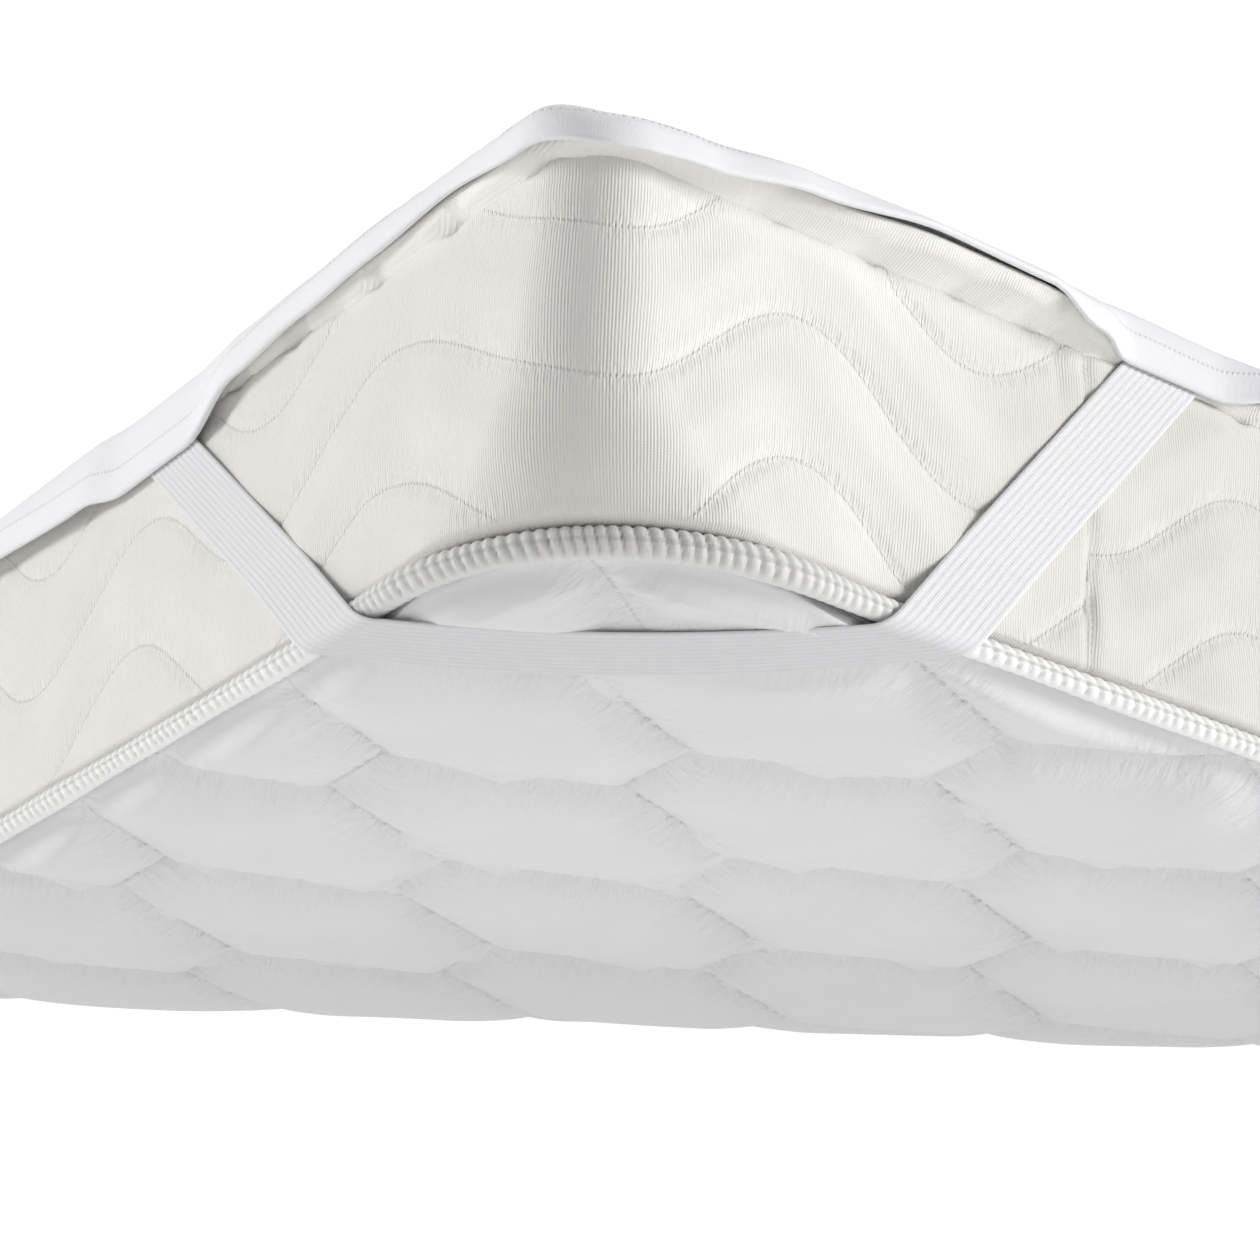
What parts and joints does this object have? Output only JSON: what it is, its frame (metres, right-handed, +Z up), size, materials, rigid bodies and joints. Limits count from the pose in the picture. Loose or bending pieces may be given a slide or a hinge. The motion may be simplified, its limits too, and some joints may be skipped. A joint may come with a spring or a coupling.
{
  "type": "mattress protector on a mattress",
  "caption": "Thin cloth protector held over a plain quilted mattress by ribbed elastic corner straps, one mattress corner folded up to show its underside, piped edge and the strap below it.",
  "frame": {"origin": "middle of the whole object's outline, on the floor", "axes": "+X across the mattress, +Y along its length, +Z up; the raised corner is at +X, -Y"},
  "size_m": [1.545, 2.0378, 0.5149],
  "materials": {
    "mattress_cover": "matt quilted knit",
    "piping_tape": "ribbed satin tape",
    "protector_cloth": "matt smooth cloth",
    "strap_elastic": "ribbed woven elastic"
  },
  "bodies": {
    "root": {"mattress": "mattress_cover", "mattress_piping": "piping_tape", "protector_sheet": "protector_cloth", "strap_raised": "strap_elastic", "strap_foot": "strap_elastic", "strap_far": "strap_elastic", "strap_head": "strap_elastic"}
  },
  "joints": []
}
